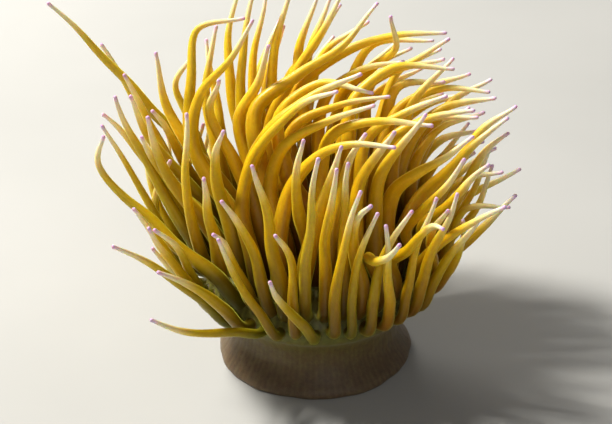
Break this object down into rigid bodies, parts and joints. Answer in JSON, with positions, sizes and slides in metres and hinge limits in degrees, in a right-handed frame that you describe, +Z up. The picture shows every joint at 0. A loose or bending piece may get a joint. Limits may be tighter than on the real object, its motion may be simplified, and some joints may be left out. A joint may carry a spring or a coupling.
{
  "type": "snakelocks sea anemone",
  "caption": "Life-size still model of a snakelocks anemone: flat foot, short column, and a crown of long tapering tentacles laid over by a current.",
  "frame": {"origin": "middle of the foot's flat underside, on the floor", "axes": "+Z up along the column, -Y to the front from which the animal is seen, +X the way the current lays the tentacles"},
  "size_m": [0.1429, 0.1116, 0.1054],
  "materials": {
    "foot": "soft, moist",
    "column": "soft, moist",
    "disc": "soft, moist",
    "lips": "soft, moist",
    "tentacles": "soft, moist, translucent",
    "tips": "soft, moist, translucent"
  },
  "bodies": {
    "root": {"foot": "foot", "column_lower": "column", "column_upper": "column", "oral_disc": "disc", "lips": "lips", "inner_tentacles_right_back": "tentacles", "inner_tentacles_back": "tentacles", "inner_tentacles_left_back": "tentacles", "inner_tentacles_left_front": "tentacles", "inner_tentacles_front": "tentacles", "inner_tentacles_right_front": "tentacles", "middle_tentacles_right_back": "tentacles", "middle_tentacles_back": "tentacles", "middle_tentacles_left_back": "tentacles", "middle_tentacles_left_front": "tentacles", "middle_tentacles_front": "tentacles", "middle_tentacles_right_front": "tentacles", "outer_tentacles_right_back": "tentacles", "outer_tentacles_back": "tentacles", "outer_tentacles_left_back": "tentacles", "outer_tentacles_left_front": "tentacles", "outer_tentacles_front": "tentacles", "outer_tentacles_right_front": "tentacles", "far_left_base": "tentacles", "far_left_middle": "tentacles", "far_left_tip": "tips", "bent_left_base": "tentacles", "bent_left_middle": "tentacles", "bent_left_tip": "tips", "tall_left_base": "tentacles", "tall_left_middle": "tentacles", "tall_left_tip": "tips", "hooked_base": "tentacles", "hooked_middle": "tentacles", "hooked_tip": "tips", "front_arch_base": "tentacles", "front_arch_middle": "tentacles", "front_arch_tip": "tips", "high_arch_base": "tentacles", "high_arch_middle": "tentacles", "high_arch_tip": "tips", "top_curl_base": "tentacles", "top_curl_middle": "tentacles", "top_curl_tip": "tips", "high_right_base": "tentacles", "high_right_middle": "tentacles", "high_right_tip": "tips", "far_right_base": "tentacles", "far_right_middle": "tentacles", "far_right_tip": "tips", "broad_right_base": "tentacles", "broad_right_middle": "tentacles", "broad_right_tip": "tips", "low_curl_base": "tentacles", "low_curl_middle": "tentacles", "low_curl_tip": "tips", "front_tall_base": "tentacles", "front_tall_middle": "tentacles", "front_tall_tip": "tips"}
  },
  "joints": []
}
